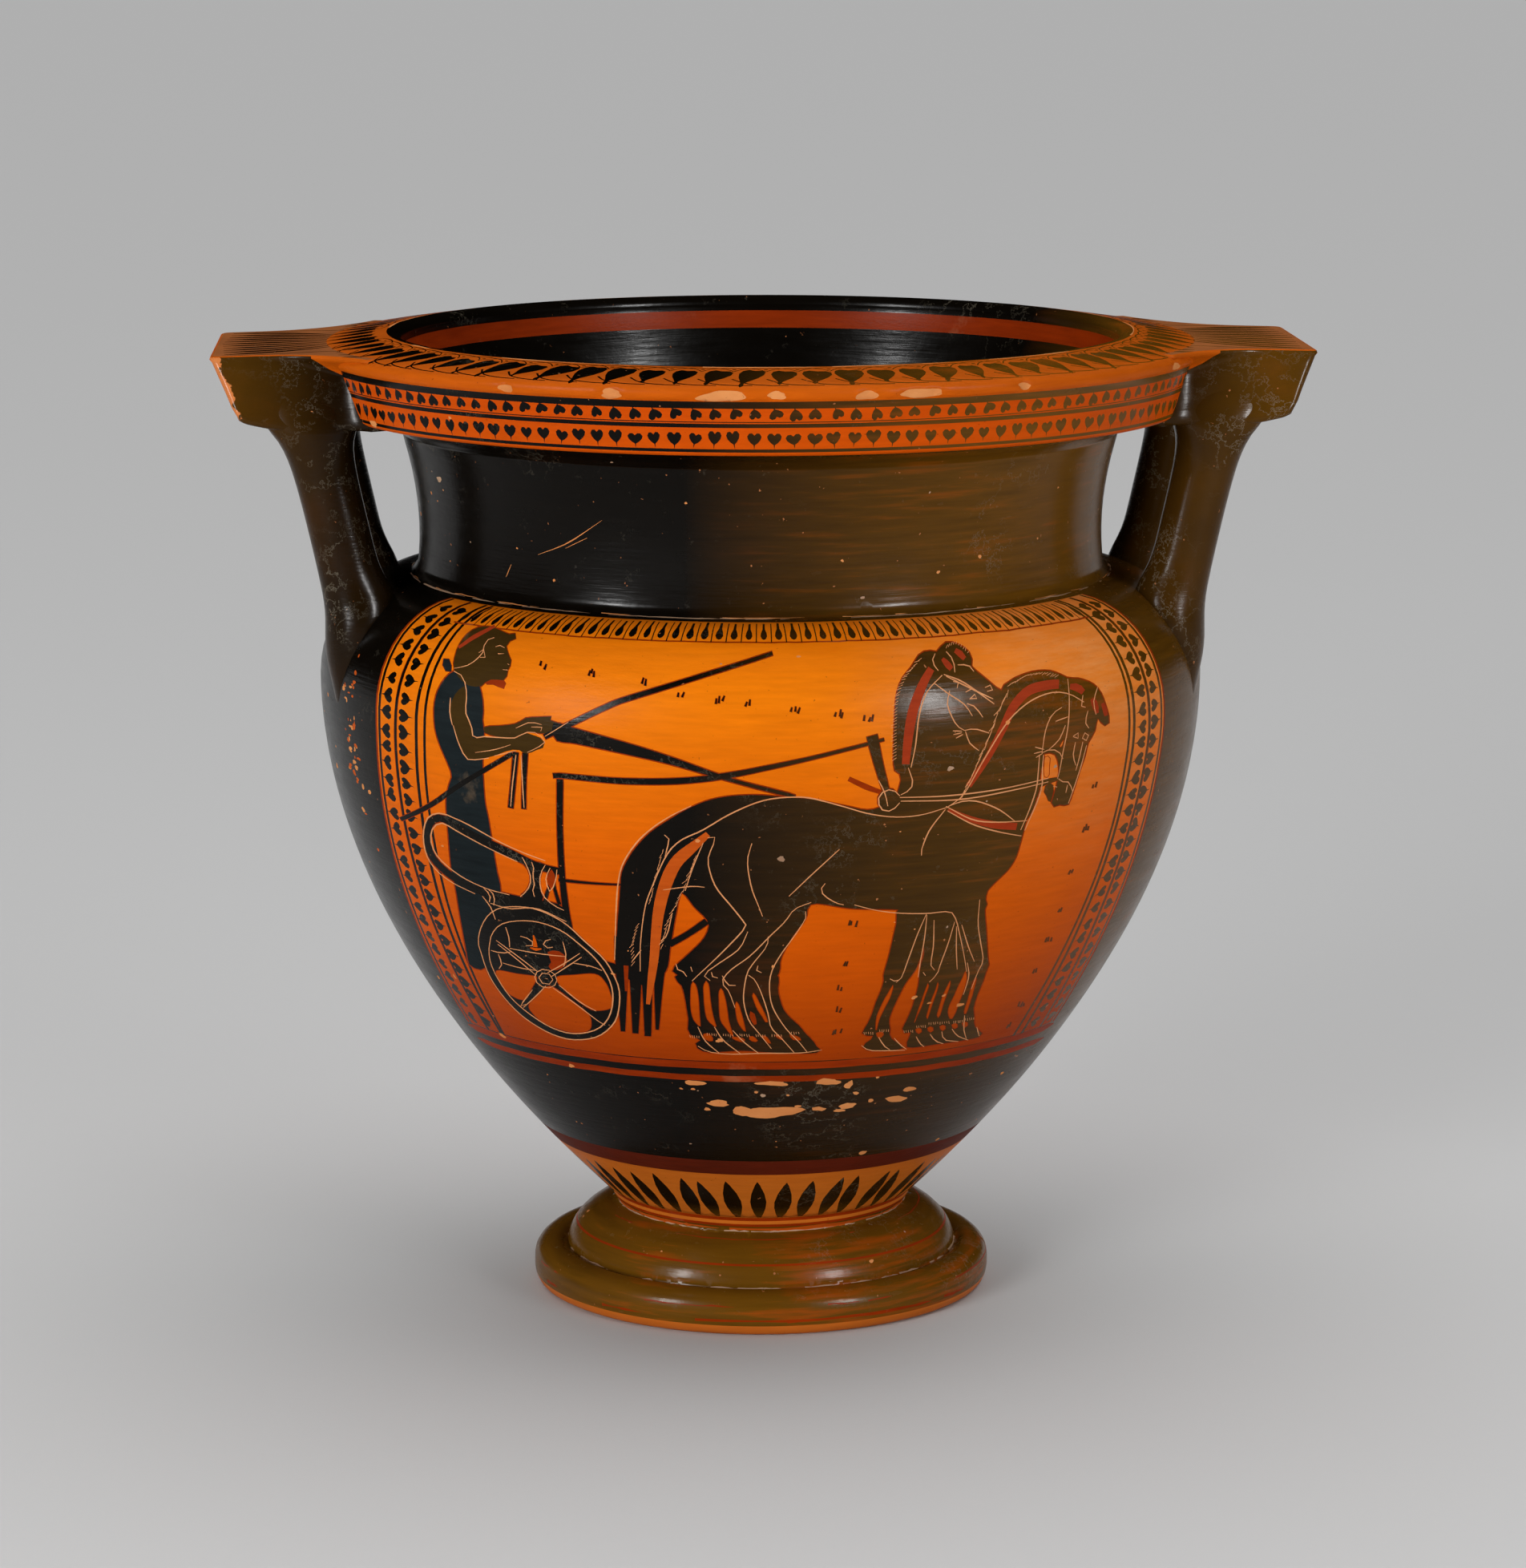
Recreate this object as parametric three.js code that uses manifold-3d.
// A column krater: the wide bowl in which wine was mixed with water, thrown in red clay and fired as one piece.
// Millimetres, +Z up, origin at the middle of the foot's underside, handles along X, the pictured front towards -Y.
import * as THREE from 'three';
import { mergeVertices } from 'three/addons/utils/BufferGeometryUtils.js';
import Module from 'manifold-3d';

const wasm = await Module();
wasm.setup();

// Overall sizes
const HEIGHT = 380;
const MOUTH_HEIGHT = 377.6;
const ROUND_STEPS = 48;

// Foot: a thick disc with a rounded step on it, hollowed a little underneath
const FOOT_RADIUS = 90.6;
const DISC_CORE_RADIUS = 80;
const DISC_MIDDLE = 8;
const DISC_TOP = 17.2;
const DISC_SQUARENESS = 2.7;
const GROOVE_RADIUS = 77.4;
const GROOVE_HEIGHT = 15.3;
const STEP_TOP_RADIUS = 57.2;
const STEP_TOP = 32.8;
const STEP_SQUARENESS = 1.8;
const FILLET_RADIUS = 59.8;
const FILLET_TOP = 40;
const FILLET_TURN = 36.6;
const REST_INNER_RADIUS = 75;
const REST_OUTER_RADIUS = 86.5;
// Hollow of the underside from the axis outwards: [radius, height]
const UNDERSIDE = [[0, 21], [34, 19], [58, 11]];
// The disc's curve begins under its widest point and ends just short of level, in degrees
const DISC_FROM = -42;
const CURVE_END = 84;

// Body: a parabola-like taper from the belly down to the foot, and an elliptic shoulder
const BELLY_RADIUS = 172.3;
const BELLY_HEIGHT = 247;
const BODY_TAPER = 0.6395;
const BODY_CURVE = 1.93;
// The last step of the body's curve ends this far below the belly, where the shoulder's ellipse takes over
const BELLY_STEP = 8;
const JOINT_RADIUS = 137.3;
const JOINT_HEIGHT = 286.2;

const JOINT_RIDGE = 1.4;

// Neck: waisted, flaring up into the rim
const NECK_RADIUS = 133.2;
const NECK_WAIST = 303;
const NECK_FLARE = 0.00433;
const NECK_FOOT = 290.7;
const NECK_TOP = 340;

// Rim: a sloping flat top, a rounded lip and a tall face that leans in as it goes down
const MOUTH_RADIUS = 139.6;
const CREST_RADIUS = 144;
const LIP_RADIUS = 171.6;
const LIP_TOP = 376;
const LIP_BOTTOM = 369.4;
const FACE_TOP_RADIUS = 168.9;
const FACE_BOTTOM_RADIUS = 164.6;
const FACE_BOTTOM = 350.2;
const LIP_ROUND = 3;
// Underside of the rim from the neck outwards: [radius, height]
const RIM_UNDERSIDE = [[143.5, 345.5], [153, 348.6], [162.6, 349.8]];

// Inside, as [radius, height]
const WALL = 8;
const FLOOR = [[0, 38], [34, 40], [58, 49]];
const BOWL_BOTTOM = 62;
const INNER_NECK = [[129, 281], [125.6, 292], [125.2, 305], [127.4, 328], [132.6, 352], [138, 369]];
const ABOVE_MOUTH = 8;

// Handles: on each side two leaning round pillars carry a thick plate that grows out of the rim
const PLATE_REACH = 211;
const PLATE_INNER = 142;
const PLATE_TOP_INNER = 376.9;
const PLATE_TOP_END = 375;
const PLATE_UNDERSIDE = 348.6;
const PLATE_HALF_WIDTH_TOP = 48;
const PLATE_HALF_WIDTH_BOTTOM = 57.5;
const PLATE_END_UNDERCUT = 10.5;
const PLATE_EDGE = 2;
// Where a side's hollow curve leaves the rim, and where it has become straight: [x, y] seen from above.
// The wide curve belongs to the lip alone, and below that share of the plate's thickness the side is nearly straight.
const SWEEP_LIP_SHARE = 0.3;
const SWEEP_FROM_LIP = [151, 79];
const SWEEP_FROM_SIDE = [150, 63];
const SWEEP_TO_LIP = 195;
const SWEEP_TO_SIDE = 163;
const SWEEP_TURN_LIP = 168.8;
const SWEEP_TURN_SIDE = 154.5;
const PILLAR_OFFSET = 46;
const PILLAR_RADIUS = 11.8;
const PILLAR_FOOT = [150, 240];
const PILLAR_MIDDLE = [157.5, 290];
const PILLAR_HEAD = [173, 350];
const PILLAR_ROOT_FLARE = 3.5;
const PILLAR_ROOT_LENGTH = 9;
const PILLAR_HEAD_FLARE = 4;
const PILLAR_HEAD_LENGTH = 5;
const PILLAR_STEPS = 12;
const PILLAR_SIDES = 16;

const CLAY = new THREE.MeshStandardMaterial({ color: 0x2b2211, roughness: 0.35, metalness: 0 });

// Formulas of the profile: each gives a radius for a height

function bodyRadius(height) {
  const drop = (BELLY_HEIGHT - height) / (BELLY_HEIGHT - FILLET_TOP);
  return BELLY_RADIUS * (1 - BODY_TAPER * Math.max(drop, 0) ** BODY_CURVE);
}

function neckRadius(height) {
  return NECK_RADIUS + NECK_FLARE * (height - NECK_WAIST) ** 2;
}

// Points of a superellipse arc from angle a to angle b, both in degrees, about (r, z)
function arc(r, z, across, up, a, b, steps, squareness = 2) {
  const points = [];
  for (let i = 0; i <= steps; i += 1) {
    const turn = THREE.MathUtils.degToRad(a + ((b - a) * i) / steps);
    const c = Math.cos(turn);
    const s = Math.sin(turn);
    points.push(
      new THREE.Vector2(
        r + across * Math.sign(c) * Math.abs(c) ** (2 / squareness),
        z + up * Math.sign(s) * Math.abs(s) ** (2 / squareness),
      ),
    );
  }
  return points;
}

// Points of a radius formula from one height to another
function swept(formula, from, to, steps) {
  const points = [];
  for (let i = 0; i <= steps; i += 1) {
    const height = from + ((to - from) * i) / steps;
    points.push(new THREE.Vector2(formula(height), height));
  }
  return points;
}

// Points straight from pairs of radius and height
function corners(...pairs) {
  return pairs.map(([r, z]) => new THREE.Vector2(r, z));
}

function footProfile() {
  const across = FOOT_RADIUS - DISC_CORE_RADIUS;
  const up = DISC_TOP - DISC_MIDDLE;
  const disc = arc(DISC_CORE_RADIUS, DISC_MIDDLE, across, up, DISC_FROM, CURVE_END, 7, DISC_SQUARENESS);
  const step = arc(
    STEP_TOP_RADIUS,
    GROOVE_HEIGHT,
    GROOVE_RADIUS - STEP_TOP_RADIUS,
    STEP_TOP - GROOVE_HEIGHT,
    0,
    CURVE_END,
    5,
    STEP_SQUARENESS,
  );
  return [
    ...corners(...UNDERSIDE, [REST_INNER_RADIUS, 0], [REST_OUTER_RADIUS, 0]),
    ...disc,
    ...step,
    ...corners([FILLET_RADIUS - 2, STEP_TOP + 1.2], [FILLET_RADIUS, FILLET_TURN], [FILLET_RADIUS, FILLET_TOP - 1]),
  ];
}

function rimProfile() {
  const lip = arc(LIP_RADIUS - LIP_ROUND, (LIP_TOP + LIP_BOTTOM) / 2, LIP_ROUND, LIP_ROUND, -60, 60, 2);
  return [
    ...corners(...RIM_UNDERSIDE, [FACE_BOTTOM_RADIUS, FACE_BOTTOM + 1], [FACE_TOP_RADIUS, LIP_BOTTOM - 1]),
    ...lip,
    ...corners([LIP_RADIUS - LIP_ROUND - 1, LIP_TOP + 0.5]),
    ...corners([CREST_RADIUS, HEIGHT], [MOUTH_RADIUS + 1.6, HEIGHT - 0.6], [MOUTH_RADIUS, MOUTH_HEIGHT]),
  ];
}

// The whole outside, from the middle of the underside up to the mouth and back to the axis
function outerProfile() {
  const shoulderAcross = BELLY_RADIUS - JOINT_RADIUS;
  const shoulderUp = JOINT_HEIGHT - BELLY_HEIGHT;
  return [
    ...footProfile(),
    ...swept(bodyRadius, FILLET_TOP, BELLY_HEIGHT - BELLY_STEP, 9),
    ...arc(JOINT_RADIUS, BELLY_HEIGHT, shoulderAcross, shoulderUp, 0, CURVE_END, 7),
    ...corners([JOINT_RADIUS - JOINT_RIDGE, JOINT_HEIGHT + JOINT_RIDGE]),
    ...swept(neckRadius, NECK_FOOT, NECK_TOP, 4),
    ...rimProfile(),
    ...corners([0, MOUTH_HEIGHT]),
  ];
}

// The hollow: the outside moved in by the wall, with a rounded floor, left open past the mouth
function hollowProfile() {
  const bowl = swept((height) => bodyRadius(height) - WALL, BELLY_HEIGHT, BOWL_BOTTOM, 7).reverse();
  const shoulder = arc(
    JOINT_RADIUS - WALL,
    BELLY_HEIGHT,
    BELLY_RADIUS - JOINT_RADIUS,
    JOINT_HEIGHT - WALL - BELLY_HEIGHT,
    16,
    76,
    3,
  );
  return [
    ...corners(...FLOOR),
    ...bowl,
    ...shoulder,
    ...corners(...INNER_NECK, [MOUTH_RADIUS + 0.3, MOUTH_HEIGHT - 1]),
    ...corners([MOUTH_RADIUS + 0.3, HEIGHT + ABOVE_MOUTH], [0, HEIGHT + ABOVE_MOUTH]),
  ];
}

// Solids

function solidOf(geometry) {
  const plain = geometry.clone();
  plain.deleteAttribute('normal');
  plain.deleteAttribute('uv');
  const merged = mergeVertices(plain, 1e-4);
  return new wasm.Manifold(
    new wasm.Mesh({
      numProp: 3,
      vertProperties: new Float32Array(merged.attributes.position.array),
      triVerts: new Uint32Array(merged.index.array),
    }),
  );
}

function turned(profile) {
  const lathe = new THREE.LatheGeometry(profile, ROUND_STEPS);
  lathe.rotateX(Math.PI / 2);
  return solidOf(lathe);
}

// A closed skin over rings that all have the same number of points, listed anticlockwise from above, lowest first
function lofted(rings) {
  const around = rings[0].length;
  const positions = rings.flat().flatMap((p) => [p.x, p.y, p.z]);
  const index = [];
  for (let k = 0; k + 1 < rings.length; k += 1) {
    for (let i = 0; i < around; i += 1) {
      const a = k * around + i;
      const b = k * around + ((i + 1) % around);
      index.push(a, b, b + around, a, b + around, a + around);
    }
  }
  const last = (rings.length - 1) * around;
  const flat = rings[0].map((p) => new THREE.Vector2(p.x, p.y));
  for (const [a, b, c] of THREE.ShapeUtils.triangulateShape(flat, [])) {
    index.push(c, b, a);
  }
  const flatTop = rings[rings.length - 1].map((p) => new THREE.Vector2(p.x, p.y));
  for (const [a, b, c] of THREE.ShapeUtils.triangulateShape(flatTop, [])) {
    index.push(last + a, last + b, last + c);
  }
  const geometry = new THREE.BufferGeometry();
  geometry.setAttribute('position', new THREE.Float32BufferAttribute(positions, 3));
  geometry.setIndex(index);
  return solidOf(geometry);
}

// One level of the handle plate, seen from above, from 0 at its top to 1 at its underside:
// each side sweeps out in a hollow curve to meet the rim
function plateRing(low, inset, lift) {
  const mix = (top, bottom) => THREE.MathUtils.lerp(top, bottom, low);
  const halfWidth = mix(PLATE_HALF_WIDTH_TOP, PLATE_HALF_WIDTH_BOTTOM) - inset;
  const end = mix(PLATE_REACH, PLATE_REACH - PLATE_END_UNDERCUT) - inset;
  const tucked = Math.min(low / SWEEP_LIP_SHARE, 1);
  const drawIn = (lip, side) => THREE.MathUtils.lerp(lip, side, tucked);
  const from = SWEEP_FROM_LIP.map((lip, axis) => drawIn(lip, SWEEP_FROM_SIDE[axis]));
  const sweep = new THREE.QuadraticBezierCurve(
    new THREE.Vector2(from[0], from[1] - inset),
    new THREE.Vector2(drawIn(SWEEP_TURN_LIP, SWEEP_TURN_SIDE), halfWidth),
    new THREE.Vector2(drawIn(SWEEP_TO_LIP, SWEEP_TO_SIDE), halfWidth),
  ).getPoints(5);
  const cut = PLATE_EDGE + 1;
  const endCorner = [new THREE.Vector2(end - cut, halfWidth), new THREE.Vector2(end, halfWidth - cut)];
  const root = new THREE.Vector2(PLATE_INNER, from[1] - inset - cut);
  const side = [root, ...sweep, ...endCorner].map((p) => {
    const outwards = (p.x - PLATE_INNER) / (PLATE_REACH - PLATE_INNER);
    const top = THREE.MathUtils.lerp(PLATE_TOP_INNER, PLATE_TOP_END, outwards);
    return new THREE.Vector3(p.x, p.y, mix(top, PLATE_UNDERSIDE) + lift);
  });
  const near = side.map((p) => new THREE.Vector3(p.x, -p.y, p.z));
  return [...near, ...side.reverse()];
}

function plate() {
  return lofted([
    plateRing(1, PLATE_EDGE, 0),
    plateRing(1, 0, PLATE_EDGE),
    plateRing(SWEEP_LIP_SHARE, 0, 0),
    plateRing(0, 0, -PLATE_EDGE / 2),
    plateRing(0, PLATE_EDGE / 2, 0),
  ]);
}

// How far a point stands off the shoulder's ellipse: negative inside it
function clearOfShoulder(x, y, z) {
  const across = BELLY_RADIUS - JOINT_RADIUS;
  const up = JOINT_HEIGHT - BELLY_HEIGHT;
  const off = Math.hypot((Math.hypot(x, y) - JOINT_RADIUS) / across, (z - BELLY_HEIGHT) / up);
  return (off - 1) * 0.5 * (across + up);
}

// A leaning round pillar whose root spreads onto the shoulder, and whose head spreads along the plate alone
function pillar(offset) {
  const line = new THREE.QuadraticBezierCurve(
    new THREE.Vector2(...PILLAR_FOOT),
    new THREE.Vector2(...PILLAR_MIDDLE),
    new THREE.Vector2(...PILLAR_HEAD),
  );
  const rings = [];
  for (let k = 0; k <= PILLAR_STEPS; k += 1) {
    const middle = line.getPoint(k / PILLAR_STEPS);
    const ring = [];
    for (let i = 0; i < PILLAR_SIDES; i += 1) {
      const turn = (2 * Math.PI * i) / PILLAR_SIDES;
      const x = middle.x + PILLAR_RADIUS * Math.cos(turn);
      const y = offset + PILLAR_RADIUS * Math.sin(turn);
      const rootDistance = clearOfShoulder(x, y, middle.y) / PILLAR_ROOT_LENGTH;
      const headDistance = Math.max(PLATE_UNDERSIDE - middle.y, 0) / PILLAR_HEAD_LENGTH;
      const root = PILLAR_ROOT_FLARE * Math.exp(-(rootDistance ** 2));
      const head = PILLAR_HEAD_FLARE * Math.exp(-headDistance);
      ring.push(
        new THREE.Vector3(x + (root + head) * Math.cos(turn), y + root * Math.sin(turn), middle.y),
      );
    }
    rings.push(ring);
  }
  return lofted(rings);
}

function handle() {
  return plate().add(pillar(PILLAR_OFFSET)).add(pillar(-PILLAR_OFFSET));
}

function krater() {
  const near = handle();
  const far = near.rotate([0, 0, 180]);
  return turned(outerProfile()).add(near).add(far).subtract(turned(hollowProfile()));
}

function meshOf(name, solid, material) {
  const { vertProperties, triVerts } = solid.getMesh();
  const geometry = new THREE.BufferGeometry();
  geometry.setAttribute('position', new THREE.BufferAttribute(vertProperties, 3));
  geometry.setIndex(new THREE.BufferAttribute(triVerts, 1));
  geometry.computeVertexNormals();
  const mesh = new THREE.Mesh(geometry, material);
  mesh.name = name;
  return mesh;
}

const vessel = new THREE.Group();
vessel.add(meshOf('krater', krater(), CLAY));

export default vessel;
